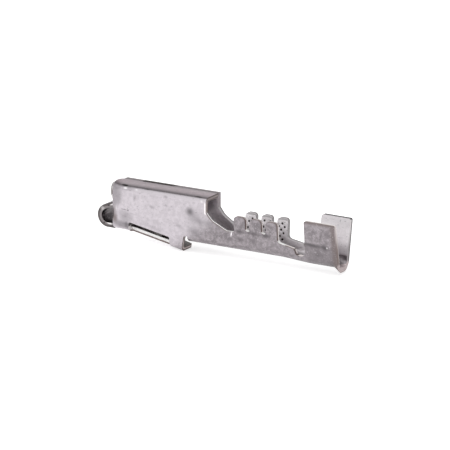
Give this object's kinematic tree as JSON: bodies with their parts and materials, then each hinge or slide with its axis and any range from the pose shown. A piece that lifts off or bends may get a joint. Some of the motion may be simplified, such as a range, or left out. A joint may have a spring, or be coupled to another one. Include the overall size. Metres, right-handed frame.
{
  "type": "female crimp terminal",
  "caption": "Folded sheet-metal female crimp terminal: a box with a contact spring and locking ramp, a wire barrel of notched fingers and an open insulation barrel.",
  "frame": {"origin": "middle of the mating pin in the plane of the box's mouth", "axes": "+X from the mouth towards the wire end, +Y towards the wall that the top flap is folded over to, +Z away from the floor"},
  "size_m": [0.0183, 0.0024, 0.004],
  "materials": {
    "tin": "satin tin plating, bare at the sheared edges"
  },
  "bodies": {
    "root": {"terminal": "tin"}
  },
  "joints": []
}
